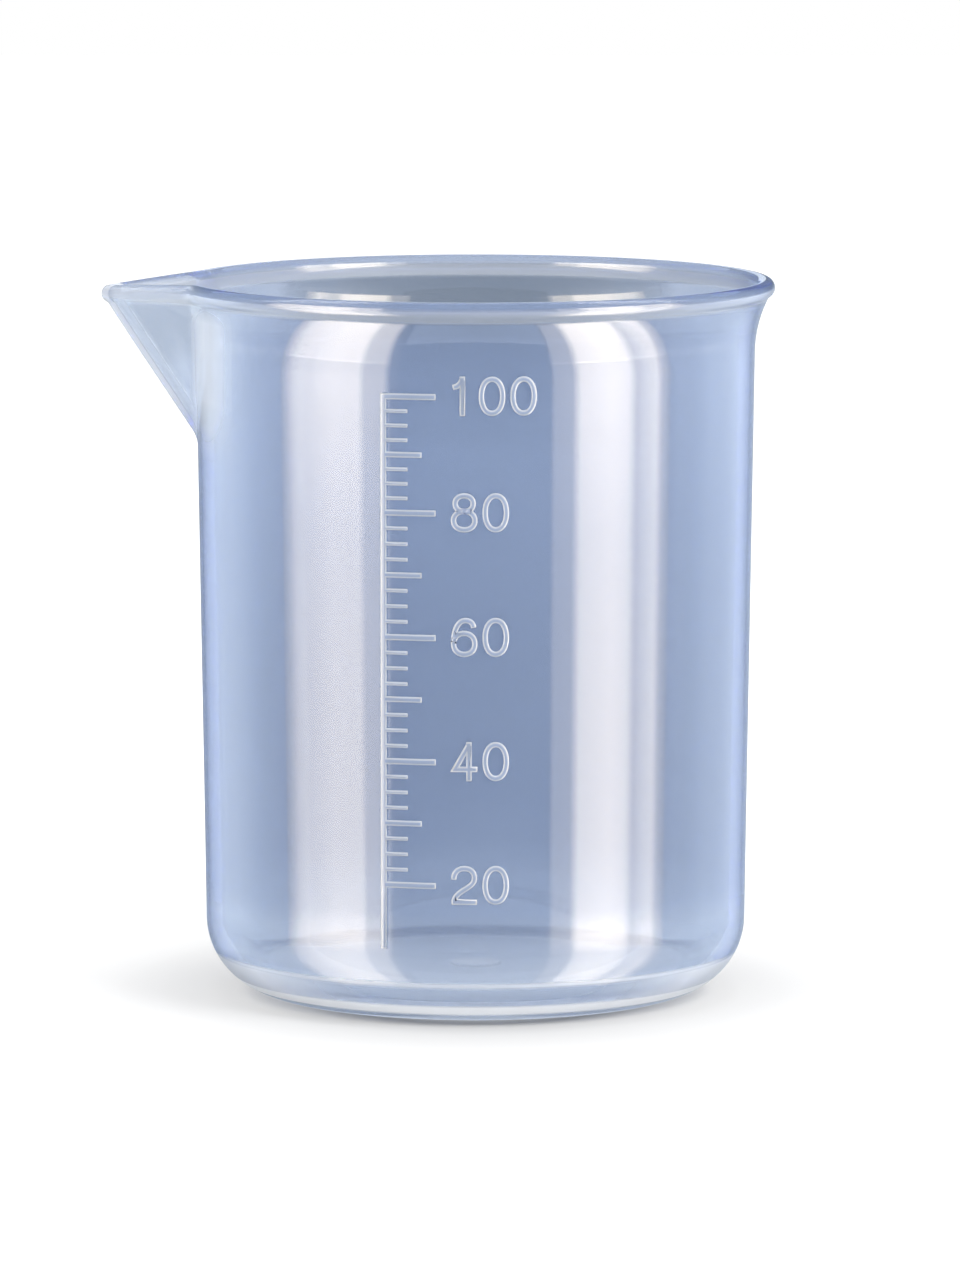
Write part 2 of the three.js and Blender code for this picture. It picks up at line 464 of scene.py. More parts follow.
@dataclass(frozen=True)
class CupForm:
    """Sizes of the moulding and the surfaces that they give."""

    height: float = 68 * MM
    base_radius: float = 25.54 * MM
    draft: float = math.radians(0.865)
    wall: float = 1.5 * MM
    floor: float = 1.6 * MM
    foot_rounding: float = 7.2 * MM
    rim_flare: float = 1.8 * MM
    lip_diameter: float = 1.7 * MM
    lip_overhang: float = 0.1 * MM
    lip_undercut: float = math.radians(60)
    flare_height: float = 6.95 * MM
    spout_length: float = 7.05 * MM
    spout_width: float = 17.2 * MM
    spout_depth: float = 15.2 * MM
    spout_wall: float = 1.0 * MM
    spout_droop: float = 0.65 * MM
    keel_setback: float = 0.45 * MM
    crease_fillet: float = 0.5 * MM

    @cached_property
    def lip_radius(self) -> float:
        """Radius of the rolled lip's section."""
        return self.lip_diameter / 2

    @cached_property
    def lip_height(self) -> float:
        """Height of the middle of the lip's section."""
        return self.height - self.lip_radius

    @cached_property
    def flare_foot(self) -> float:
        """Height at which the wall starts to turn outwards."""
        return self.height - self.flare_height

    @cached_property
    def rim_radius(self) -> float:
        """Radius of the outside of the lip."""
        return self.outer_wall(self.lip_height) + self.rim_flare

    @cached_property
    def flare_radius(self) -> float:
        """Radius of the arc by which the wall turns outwards."""
        rise = self.lip_height - self.flare_foot
        reach = self.rim_flare - self.lip_overhang
        return (rise**2 + reach**2) / (2 * reach)

    @cached_property
    def keel_foot(self) -> float:
        """Height at which the keel of the spout leaves the wall."""
        return self.height - self.spout_depth

    @cached_property
    def keel_at_lip(self) -> float:
        """Distance of the keel from the axis at the lip."""
        return self.rim_radius + self.spout_length - self.lip_overhang

    @cached_property
    def keel_slope(self) -> float:
        """How far the keel goes out for each metre that it rises."""
        reach = self.keel_at_lip - self.outer_wall(self.keel_foot)
        return reach / (self.lip_height - self.keel_foot)

    @cached_property
    def root_angle(self) -> float:
        """Angle about the axis between the keel and a root of the V."""
        return math.asin(self.spout_width / 2 / self.outer_skin(self.lip_height))

    @cached_property
    def vee_half_angle(self) -> float:
        """Angle between the keel's plane and a side of the V, in plan."""
        inset = self.outer_skin(self.lip_height) * math.cos(self.root_angle)
        return math.atan2(self.spout_width / 2, self.keel_at_lip + self.keel_setback - inset)

    @cached_property
    def inner_setback(self) -> float:
        """How far the inner keel stands back from a sharp V."""
        spare = self.spout_wall * (1 / math.sin(self.vee_half_angle) - 1)
        return max(0.0, self.keel_setback - spare)

    @cached_property
    def keel_thickness(self) -> float:
        """Level thickness of the spout at its keel, where its sides are spout_wall thick."""
        slope = 1 + 1 / math.tan(self.vee_half_angle) ** 2 + self.keel_slope**2
        return self.spout_wall * math.sqrt(slope) + self.inner_setback - self.keel_setback

    @cached_property
    def spout_foot(self) -> float:
        """Lowest height that the spout changes, on either side of the wall."""
        lead = self.keel_slope - math.tan(self.draft)
        inner = self.keel_foot - (self.wall - self.keel_thickness) / lead
        return min(self.keel_foot, inner) - self.crease_fillet / lead

    def outer_wall(self, z: float) -> float:
        """Radius of the straight outer wall at a height."""
        return self.base_radius + z * math.tan(self.draft)

    def outer_skin(self, z: float) -> float:
        """Radius of the outside, flare included, at a height."""
        rise = max(0.0, z - self.flare_foot)
        turn = self.flare_radius - math.sqrt(self.flare_radius**2 - rise**2)
        return self.outer_wall(z) + turn

    def inner_skin(self, z: float) -> float:
        """Radius of the inside, flare included, at a height."""
        return self.outer_skin(z) - self.wall

    def outer_keel(self, z: float) -> float:
        """Distance of the outer keel from the axis at a height."""
        return self.outer_wall(self.keel_foot) + (z - self.keel_foot) * self.keel_slope

    def inner_keel(self, z: float) -> float:
        """Distance of the inner keel from the axis at a height."""
        return self.outer_keel(z) - self.keel_thickness

    def stand_out(self, circle: float, keel: float, setback: float, angle: float) -> float:
        """How far the V stands out of a circle; in plan the V with its round keel is a hyperbola.

        Args:
            circle: Radius of the circle.
            keel: Distance of the keel from the axis.
            setback: How far the keel stands back from a sharp V.
            angle: Angle about the axis from the keel.

        Returns:
            The distance, 0 where the V lies inside the circle.
        """
        fillet = self.crease_fillet
        if keel + fillet <= circle or abs(angle) > math.pi / 2 - self.vee_half_angle:
            return 0.0
        apex = keel + setback
        run = apex**2 - setback**2
        ahead = math.cos(angle)
        aside = math.sin(angle) / math.tan(self.vee_half_angle)
        vee = run / (apex * ahead + math.sqrt((ahead * setback) ** 2 + aside**2 * run))
        overlap = max(0.0, fillet - abs(vee - circle))
        return max(vee - circle, 0.0) + overlap**2 / (4 * fillet)

    def draw_spout(self, place: Vector) -> Vector:
        """Moves a point of the round shell to where the spout draws it.

        Args:
            place: A point of the shell before it has a spout.

        Returns:
            The point's new place.
        """
        radius = math.hypot(place.x, place.y)
        angle = math.atan2(place.y, -place.x)
        level = min(place.z, self.lip_height)
        inner, outer = self.inner_skin(level), self.outer_skin(level)
        outer_pull = self.stand_out(outer, self.outer_keel(level), self.keel_setback, angle)
        inner_pull = self.stand_out(inner, self.inner_keel(level), self.inner_setback, angle)
        depth = min(1.0, max(0.0, (radius - inner) / self.wall))
        pull = inner_pull + (outer_pull - inner_pull) * depth
        if pull == 0.0:
            return place
        stretch = 1 + pull / radius
        full = self.keel_at_lip - self.outer_skin(self.lip_height)
        drop = self.spout_droop * pull / full
        return Vector((place.x * stretch, place.y * stretch, place.z - drop))

    def wrap(self, place: Vector) -> Vector:
        """Lays a point of a flat front drawing on the wall, as far out as it stands in front."""
        radius = self.outer_wall(place.z) - place.y
        return Vector((place.x, -math.sqrt(radius**2 - place.x**2), place.z))


def verts_of(geom: list) -> list[BMVert]:
    """The vertices among what a bmesh operator made."""
    return [e for e in geom if isinstance(e, BMVert)]


def draw_out(bm: BMesh, edges: list, way: Triple) -> None:
    """Extrudes edges into faces and moves their new ends along a way."""
    made = bmesh.ops.extrude_edge_only(bm, edges=edges)
    bmesh.ops.translate(bm, verts=verts_of(made["geom"]), vec=way)


def round_off(bm: BMesh, edges: list, offset: float, segments: int) -> list[BMFace]:
    """Rounds edges with a bevel, and returns its faces."""
    made = bmesh.ops.bevel(
        bm, geom=edges, offset=offset, segments=segments, profile=0.5, affect="EDGES", material=-1
    )
    return made["faces"]


class Pen:
    """Draws a line of edges in the XZ plane by extruding one vertex from stop to stop."""

    curve_steps: int = 10

    def __init__(self, bm: BMesh, start: Point) -> None:
        """Puts the first vertex down."""
        self.bm = bm
        self.tip = bm.verts.new((start[0], 0, start[1]))

    def line(self, end: Point, steps: int = 1) -> None:
        """Draws a straight line.

        Args:
            end: Where it ends.
            steps: Number of edges.
        """
        start = self.tip.co.copy()
        target = Vector((end[0], 0, end[1]))
        for step in range(1, steps + 1):
            self.tip = bmesh.ops.extrude_vert_indiv(self.bm, verts=[self.tip])["verts"][0]
            self.tip.co = start.lerp(target, step / steps)

    def arc(self, centre: Point, turn: float, steps: int) -> None:
        """Draws an arc.

        Args:
            centre: Its centre.
            turn: Its angle, anticlockwise as seen from the front.
            steps: Number of edges.
        """
        made = bmesh.ops.spin(
            self.bm,
            geom=[self.tip],
            cent=(centre[0], 0, centre[1]),
            axis=(0, -1, 0),
            angle=turn,
            steps=steps,
        )
        self.tip = verts_of(made["geom_last"])[0]

    def curve(self, leave: Point, arrive: Point, end: Point) -> None:
        """Draws a cubic curve.

        Args:
            leave: Handle on the side of the start.
            arrive: Handle on the side of the end.
            end: Where it ends.
        """
        knots = [self.tip.co] + [Vector((p[0], 0, p[1])) for p in (leave, arrive, end)]
        for stop in interpolate_bezier(*knots, self.curve_steps + 1)[1:]:
            self.line((stop.x, stop.z))


def move_each(bm: BMesh, move: Callable[[Vector], Vector]) -> None:
    """Moves every vertex to where a function puts it."""
    for vert in bm.verts:
        vert.co = move(vert.co)


def to_object(bm: BMesh, name: str, material: Material | None = None) -> Object:
    """Turns a bmesh into an object of the scene with smooth faces.

    Args:
        bm: The mesh, which is freed.
        name: Name of the object.
        material: Its material, if it has one.

    Returns:
        The object.
    """
    for face in bm.faces:
        face.smooth = True
    mesh = bpy.data.meshes.new(name)
    bm.to_mesh(mesh)
    bm.free()
    if material:
        mesh.materials.append(material)
    piece = bpy.data.objects.new(name, mesh)
    bpy.context.scene.collection.objects.link(piece)
    return piece


def seat(piece: Object, slot: Slot, *nodes: str) -> None:
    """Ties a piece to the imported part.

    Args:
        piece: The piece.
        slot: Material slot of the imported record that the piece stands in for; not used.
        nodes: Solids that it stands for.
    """
    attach(piece, "root")
    if nodes:
        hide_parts(*nodes)
    LOG.info("%s: %d faces", piece.name, len(piece.data.polygons))


@dataclass
class CupShell:
    """The moulded cup: base, wall, flared rim with its rolled lip, and spout."""

    form: CupForm
    finish: Moulding
    fine_sector: float = 1.3
    spout_steps: int = 112
    body_steps: int = 320
    foot_steps: int = 40
    wall_steps: int = 12
    spout_rows: int = 30
    flare_steps: int = 14
    lip_steps: int = 20
    floor_steps: int = 8

    def section(self, bm: BMesh) -> None:
        """Draws the cup's section from the middle of the underside round to the floor inside.

        Args:
            bm: The mesh to draw in.
        """
        form = self.form
        quarter = math.pi / 2
        lip_foot = form.lip_height - form.lip_radius
        lip_start = form.rim_radius - form.lip_radius * (1 - math.cos(form.lip_undercut))
        lip_bottom = form.lip_height - form.lip_radius * math.sin(form.lip_undercut)
        foot_centre = form.outer_wall(form.foot_rounding) - form.foot_rounding
        corner = form.foot_rounding - form.wall
        corner_height = form.floor + corner
        corner_centre = form.inner_skin(corner_height) - corner
        rise = (lip_foot - form.flare_foot) / self.flare_steps
        pen = Pen(bm, (0.0, 0.0))
        pen.line((foot_centre, 0.0), self.floor_steps)
        pen.arc((foot_centre, form.foot_rounding), quarter, self.foot_steps)
        pen.line((form.outer_skin(form.spout_foot), form.spout_foot), self.wall_steps)
        pen.line((form.outer_skin(form.flare_foot), form.flare_foot), self.spout_rows)
        for step in range(1, self.flare_steps + 1):
            z = form.flare_foot + rise * step
            pen.line((form.outer_skin(z), z))
        pen.line((lip_start, lip_bottom))
        lip_centre = (form.rim_radius - form.lip_radius, form.lip_height)
        pen.arc(lip_centre, math.pi + form.lip_undercut, self.lip_steps)
        for step in range(self.flare_steps + 1):
            z = lip_foot - rise * step
            pen.line((form.inner_skin(z), z))
        pen.line((form.inner_skin(form.spout_foot), form.spout_foot), self.spout_rows)
        pen.line((corner_centre + corner, corner_height), self.wall_steps)
        pen.arc((corner_centre, corner_height), -quarter, self.foot_steps)
        pen.line((0.0, form.floor), self.floor_steps)

    def build(self) -> None:
        """Spins the section, finely round the spout, and draws the spout out of it."""
        bm = bmesh.new()
        self.section(bm)
        sweep = 2 * self.fine_sector * self.form.root_angle
        start = Matrix.Rotation(math.pi - sweep / 2, 3, "Z")
        bmesh.ops.rotate(bm, verts=bm.verts, matrix=start)
        ring = bm.verts[:] + bm.edges[:]
        for angle, steps in ((sweep, self.spout_steps), (math.tau - sweep, self.body_steps)):
            made = bmesh.ops.spin(
                bm, geom=ring, axis=(0, 0, 1), cent=(0, 0, 0), angle=angle, steps=steps
            )
            ring = made["geom_last"]
        bmesh.ops.remove_doubles(bm, verts=bm.verts, dist=WELD)
        bmesh.ops.recalc_face_normals(bm, faces=bm.faces)
        move_each(bm, self.form.draw_spout)
        piece = to_object(bm, "cup_shell_clear", self.finish.material())
        seat(piece, Slot.BODY, "cup_shell")


@dataclass
class Relief:
    """What the raised marks on the wall share."""

    form: CupForm
    height: float = 0.33 * MM
    sunk: float = 0.02 * MM
    edge: float = 0.15 * MM
    edge_segments: int = 3
    edge_angle: float = math.radians(60)

    def raise_from_wall(self, bm: BMesh) -> None:
        """Gives a flat front drawing its height, rounds its upper edges and lays it on the wall.

        Args:
            bm: Flat faces in the XZ plane.
        """
        made = bmesh.ops.extrude_face_region(bm, geom=bm.faces[:])
        depth = self.height + self.sunk
        bmesh.ops.translate(bm, verts=verts_of(made["geom"]), vec=(0, -depth, 0))
        bmesh.ops.recalc_face_normals(bm, faces=bm.faces)
        self.round_and_wrap(bm)

    def round_and_wrap(self, bm: BMesh) -> None:
        """Rounds the upper edges of a flat solid and lays it on the wall.

        Args:
            bm: A closed solid that stands out of the XZ plane towards -Y.
        """
        # The rounded faces go in a layer, by which the marks' finish paints them paler as a painted
        # highlight.
        layer = bm.faces.layers.float.new(EDGE_LAYER)
        top = min(v.co.y for v in bm.verts) + NEAR
        rim = [
            e
            for e in bm.edges
            if all(v.co.y < top for v in e.verts) and e.calc_face_angle(0.0) > self.edge_angle
        ]
        for face in round_off(bm, rim, self.edge, self.edge_segments):
            face[layer] = 1.0
        bmesh.ops.translate(bm, verts=bm.verts, vec=(0, self.sunk, 0))
        move_each(bm, self.form.wrap)


@dataclass(frozen=True)
class Bar:
    """One kind of bar of the scale."""

    length: float
    thickness: float


@dataclass
class GraduationScale:
    """The raised scale: a spine with bars on its right."""

    relief: Relief
    finish: Moulding
    spine_left: float = -8.8 * MM
    spine_width: float = 0.6 * MM
    spine_bottom: float = 7.6 * MM
    long_bar: Bar = Bar(4.55 * MM, 0.6 * MM)
    middle_bar: Bar = Bar(3.25 * MM, 0.55 * MM)
    short_bar: Bar = Bar(1.95 * MM, 0.37 * MM)
    steps: int = 32
    steps_per_middle_bar: int = 4
    steps_per_long_bar: int = 8
    lower_steps: int = 24
    first_bar: float = 13.67 * MM
    pitch: float = 1.4475 * MM
    upper_pitch: float = 1.3475 * MM
    wrap_cuts: int = 6

    def bar_height(self, step: int) -> float:
        """Height above the table of a bar, by its step from the lowest."""
        lower = min(step, self.lower_steps)
        return self.first_bar + lower * self.pitch + (step - lower) * self.upper_pitch

    def bar(self, step: int) -> Bar:
        """Kind of bar at a step."""
        if step % self.steps_per_long_bar == 0:
            return self.long_bar
        return self.middle_bar if step % self.steps_per_middle_bar == 0 else self.short_bar

    def build(self) -> None:
        """Cuts the spine at each bar and draws the bars out of its right side."""
        bm = bmesh.new()
        right = self.spine_left + self.spine_width
        top = self.bar_height(self.steps) + self.bar(self.steps).thickness / 2
        lower = [bm.verts.new((x, 0, self.spine_bottom)) for x in (self.spine_left, right)]
        draw_out(bm, [bm.edges.new(lower)], (0, 0, top - self.spine_bottom))
        for step in range(self.steps + 1):
            self.draw_bar(bm, right, step)
        reach = self.long_bar.length
        for cut in range(1, self.wrap_cuts + 1):
            self.slice(bm, (right + reach * cut / (self.wrap_cuts + 1), 0, 0), (1, 0, 0))
        self.relief.raise_from_wall(bm)
        piece = to_object(bm, "graduation_scale_raised", self.finish.material())
        seat(piece, Slot.MARKS, "graduation_scale")

    def draw_bar(self, bm: BMesh, right: float, step: int) -> None:
        """Draws one bar out of the right side of the spine.

        Args:
            bm: The flat spine.
            right: Right side of the spine.
            step: Step of the bar.
        """
        bar = self.bar(step)
        middle = self.bar_height(step)
        for z in (middle - bar.thickness / 2, middle + bar.thickness / 2):
            self.slice(bm, (0, 0, z), (0, 0, 1))
        root = [
            e
            for e in bm.edges
            if all(abs(v.co.x - right) < NEAR for v in e.verts)
            and abs((e.verts[0].co.z + e.verts[1].co.z) / 2 - middle) < NEAR
        ]
        draw_out(bm, root, (bar.length, 0, 0))

    @staticmethod
    def slice(bm: BMesh, place: tuple, normal: tuple) -> None:
        """Cuts the flat drawing along a plane and keeps both sides."""
        geom = bm.verts[:] + bm.edges[:] + bm.faces[:]
        bmesh.ops.bisect_plane(bm, geom=geom, dist=WELD, plane_co=place, plane_no=normal)


@dataclass
class Numerals:
    """The raised numbers beside the long bars, as strokes of one width."""

    relief: Relief
    finish: Moulding
    scale: GraduationScale
    digit_width: float = 2.5 * MM
    digit_height: float = 3.68 * MM
    stroke: float = 0.53 * MM
    pitch: float = 2.91 * MM
    left: float = -2.28 * MM
    lift: float = 0.1 * MM
    step_volume: float = 2.5
    first_volume: int = 20
    one_width: float = 1.35 * MM
    one_tuck: float = 0.3
    oval_swell: float = 0.6

    def strokes(self, digit: str) -> list[Stroke]:
        """Centre lines of a digit in a unit box.

        Args:
            digit: The digit.

        Returns:
            Strokes, each a start and then line ends or curves of two handles and an end.
        """
        return {
            "0": [self.oval(0.5, 0.5, 0.5, 0.5)],
            "1": [
                [((1.0, -0.085),), ((1.0, 1.085),)],
                [((-0.1, 0.76),), ((0.4, 0.79),), ((0.75, 0.88),), ((1.0, 1.0),)],
            ],
            "2": [
                [
                    ((0.0, 0.66),),
                    ((0.0, 0.88), (0.2, 1.0), (0.5, 1.0)),
                    ((0.8, 1.0), (0.98, 0.9), (0.98, 0.71)),
                    ((0.98, 0.40), (0.04, 0.36), (0.02, 0.0)),
                ],
                [((-0.11, 0.0),), ((1.1, 0.0),)],
            ],
            "4": [
                [((0.72, 1.0),), ((0.06, 0.27),), ((1.12, 0.27),)],
                [((0.72, -0.085),), ((0.72, 1.085),)],
            ],
            "6": [
                self.oval(0.5, 0.31, 0.5, 0.31),
                [
                    ((0.95, 0.78),),
                    ((0.92, 0.93), (0.76, 1.0), (0.56, 1.0)),
                    ((0.16, 1.0), (0.0, 0.66), (0.0, 0.33)),
                ],
            ],
            "8": [self.oval(0.5, 0.27, 0.5, 0.27), self.oval(0.5, 0.77, 0.42, 0.23)],
        }[digit]

    def oval(self, x: float, z: float, half_width: float, half_height: float) -> Stroke:
        """A closed stroke, a little squarer than an ellipse.

        Args:
            x: Middle of the oval across.
            z: Middle of the oval upwards.
            half_width: Half its width.
            half_height: Half its height.

        Returns:
            The stroke.
        """
        swell = self.oval_swell
        ends = [(1, 0), (0, 1), (-1, 0), (0, -1), (1, 0)]

        def at(across: float, up: float) -> Point:
            """A point of the oval's own square."""
            return (x + across * half_width, z + up * half_height)

        stroke: Stroke = [(at(1, 0),)]
        for (a, b), (c, d) in zip(ends, ends[1:]):
            leave = at(a + swell * c, b + swell * d)
            arrive = at(c + swell * a, d + swell * b)
            stroke.append((leave, arrive, at(c, d)))
        return stroke

    def digit_solid(self, digit: str, left: float, bottom: float) -> Object:
        """Makes a digit as a flat solid in front of the drawing plane.

        Args:
            digit: The digit.
            left: Its left edge.
            bottom: Its lower edge.

        Returns:
            A scratch object, which the number takes its mesh from.
        """
        width = self.one_width if digit == "1" else self.digit_width
        inset = self.stroke / 2
        across, up = width - self.stroke, self.digit_height - self.stroke
        depth = self.relief.height + self.relief.sunk

        def at(place: Point) -> Point:
            """A point of the unit box in the front drawing."""
            return (left + inset + place[0] * across, bottom + inset + place[1] * up)

        solids = []
        for stroke in self.strokes(digit):
            bm = bmesh.new()
            pen = Pen(bm, at(stroke[0][0]))
            for piece in stroke[1:]:
                stops = [at(p) for p in piece]
                draw = pen.line if len(stops) == 1 else pen.curve
                draw(*stops)
            bmesh.ops.remove_doubles(bm, verts=bm.verts, dist=WELD)
            draw_out(bm, bm.edges[:], (0, -depth, 0))
            bmesh.ops.recalc_face_normals(bm, faces=bm.faces)
            solids.append(self.thicken(bm))
        return self.fuse(solids)

    def thicken(self, bm: BMesh) -> Object:
        """Gives a standing strip the width of a stroke.

        Args:
            bm: The strip.

        Returns:
            The stroke as a closed solid.
        """
        solid = to_object(bm, "stroke")
        thick = solid.modifiers.new("width", "SOLIDIFY")
        thick.thickness = self.stroke
        thick.offset = 0
        thick.use_even_offset = True
        return solid

    @staticmethod
    def fuse(solids: list[Object]) -> Object:
        """Joins closed solids into one.

        Args:
            solids: The solids, of which the first is kept.

        Returns:
            The first solid with the others joined to it.
        """
        base = solids[0]
        for other in solids[1:]:
            join = base.modifiers.new("join", "BOOLEAN")
            join.operation = "UNION"
            join.solver = "EXACT"
            join.object = other
        graph = bpy.context.evaluated_depsgraph_get()
        base.data = bpy.data.meshes.new_from_object(base.evaluated_get(graph))
        base.modifiers.clear()
        for other in solids[1:]:
            bpy.data.objects.remove(other)
        return base

    def number(self, step: int, material: Material) -> None:
        """Builds the number beside one long bar.

        Args:
            step: Step of the bar.
            material: Material of the number.
        """
        text = str(round(self.first_volume + step * self.step_volume))
        bottom = self.scale.bar_height(step) + self.lift - self.digit_height / 2
        bm = bmesh.new()
        left = self.left
        for digit in text:
            solid = self.digit_solid(digit, left, bottom)
            bm.from_mesh(solid.data)
            bpy.data.objects.remove(solid)
            narrower = self.digit_width - self.one_width if digit == "1" else 0.0
            left += self.pitch - narrower * self.one_tuck
        bmesh.ops.recalc_face_normals(bm, faces=bm.faces)
        self.relief.round_and_wrap(bm)
        seat(to_object(bm, f"number_{text}", material), Slot.MARKS)

    def build(self) -> None:
        """Builds a number beside each long bar."""
        material = self.finish.material()
        for step in range(0, self.scale.steps + 1, self.scale.steps_per_long_bar):
            self.number(step, material)


@dataclass
class GateMark:
    """The round moulding mark in the middle of the floor."""

    form: CupForm
    finish: Moulding
    diameter: float = 4.8 * MM
    height: float = 0.4 * MM
    sunk: float = 0.02 * MM
    edge: float = 0.15 * MM
    edge_segments: int = 3
    dish: float = 0.9 * MM
    dish_depth: float = 0.12 * MM
    segments: int = 64

    def build(self) -> None:
        """Raises a disc with a rounded edge and a shallow dish."""
        bm = bmesh.new()
        bmesh.ops.create_cone(
            bm,
            cap_ends=True,
            segments=self.segments,
            radius1=self.diameter / 2,
            radius2=self.diameter / 2,
            depth=self.height + self.sunk,
        )
        middle = self.form.floor + (self.height - self.sunk) / 2
        bmesh.ops.translate(bm, verts=bm.verts, vec=(0, 0, middle))
        top = max(bm.faces, key=lambda f: f.calc_center_median().z)
        rim = top.edges[:]
        bmesh.ops.inset_region(bm, faces=[top], thickness=self.dish, depth=-self.dish_depth)
        round_off(bm, rim, self.edge, self.edge_segments)
        piece = to_object(bm, "gate_mark_disc", self.finish.material())
        seat(piece, Slot.MARKS, "gate_mark")


def hide(piece: Object, *rays: Ray) -> None:
    """Hides an object from some kinds of rays."""
    for ray in rays:
        setattr(piece, f"visible_{ray.value}", False)


def upright_sheet(half_width: float, heights: Point, deep: float) -> BMesh:
    """Makes a flat sheet that faces the cup.

    Args:
        half_width: Half its width.
        heights: Its lower and its upper edge.
        deep: Its place along Y.

    Returns:
        The mesh.
    """
    low, high = heights
    bm = bmesh.new()
    bmesh.ops.create_grid(bm, size=1.0)
    bmesh.ops.scale(bm, verts=bm.verts, vec=(half_width, (high - low) / 2, 1))
    bmesh.ops.rotate(bm, verts=bm.verts, matrix=Matrix.Rotation(math.pi / 2, 3, "X"))
    bmesh.ops.translate(bm, verts=bm.verts, vec=(0, deep, (low + high) / 2))
    return bm


@dataclass(frozen=True)
class Panel:
    """Curved panel of light in upright bands, which only shows in reflections.

    Attributes:
        side: 1 for the right of the cup, -1 for the left.
        bands: Angle from the front, in degrees, and level of each stop of light.
        fall: Height and level of each stop of light.
        colour: Colour of its light.
        strength: Strength of its light where the level is 1.
    """

    side: int
    bands: Stops
    fall: Stops = ((-0.6, 0.6), (-0.1, 0.9), (-0.05, 1.0), (0.04, 1.0), (0.08, 0.25))
    colour: Colour = (0.8, 0.88, 0.95, 1.0)
    strength: float = 1.9


@dataclass(frozen=True)
class Strip(Panel):
    """Narrow panel, warmer and brighter than the others."""

    colour: Colour = (1.0, 0.88, 0.72, 1.0)
    strength: float = 7.7


LEFT_STRIP = Strip(
    side=-1,
    bands=(
        (30, 0.02), (34, 0.05), (37, 0.54), (45, 0.56), (48, 1.02),
        (60, 0.99), (69, 0.79), (78, 0.62), (82, 0.35), (85, 0.16),
    ),
    fall=(
        (-0.6, 0.4), (-0.45, 1.3), (-0.0768, 1.2), (-0.0752, 1.5),
        (-0.0705, 1.5), (-0.066, 1.0), (-0.006, 1.0), (0.03, 1.15),
    ),
)
RIGHT_STRIP = Strip(
    side=1,
    bands=(
        (30, 0.02), (32, 0.27), (39, 0.3), (43, 1.08), (57, 1.25),
        (64, 1.08), (68, 0.52), (78, 0.8), (81, 0.4), (85, 0.16),
    ),
    fall=(
        (-0.6, 0.4), (-0.45, 1.2), (-0.0768, 1.1), (-0.0752, 1.5),
        (-0.0705, 1.5), (-0.066, 1.0),
    ),
)
LEFT_PANEL = Panel(
    side=-1,
    bands=(
        (85, 0.65), (95, 0.85), (104, 1.1), (110, 1.25), (119, 1.3), (130, 1.08),
        (139, 0.7), (144, 0.52), (150, 0.34), (157, 0.16), (175, 0.25),
    ),
)
RIGHT_PANEL = Panel(
    side=1,
    bands=(
        (85, 0.65), (95, 0.78), (110, 1.05), (127, 0.95), (133, 0.9),
        (140, 0.7), (148, 0.42), (155, 0.23), (175, 0.38),
    ),
)


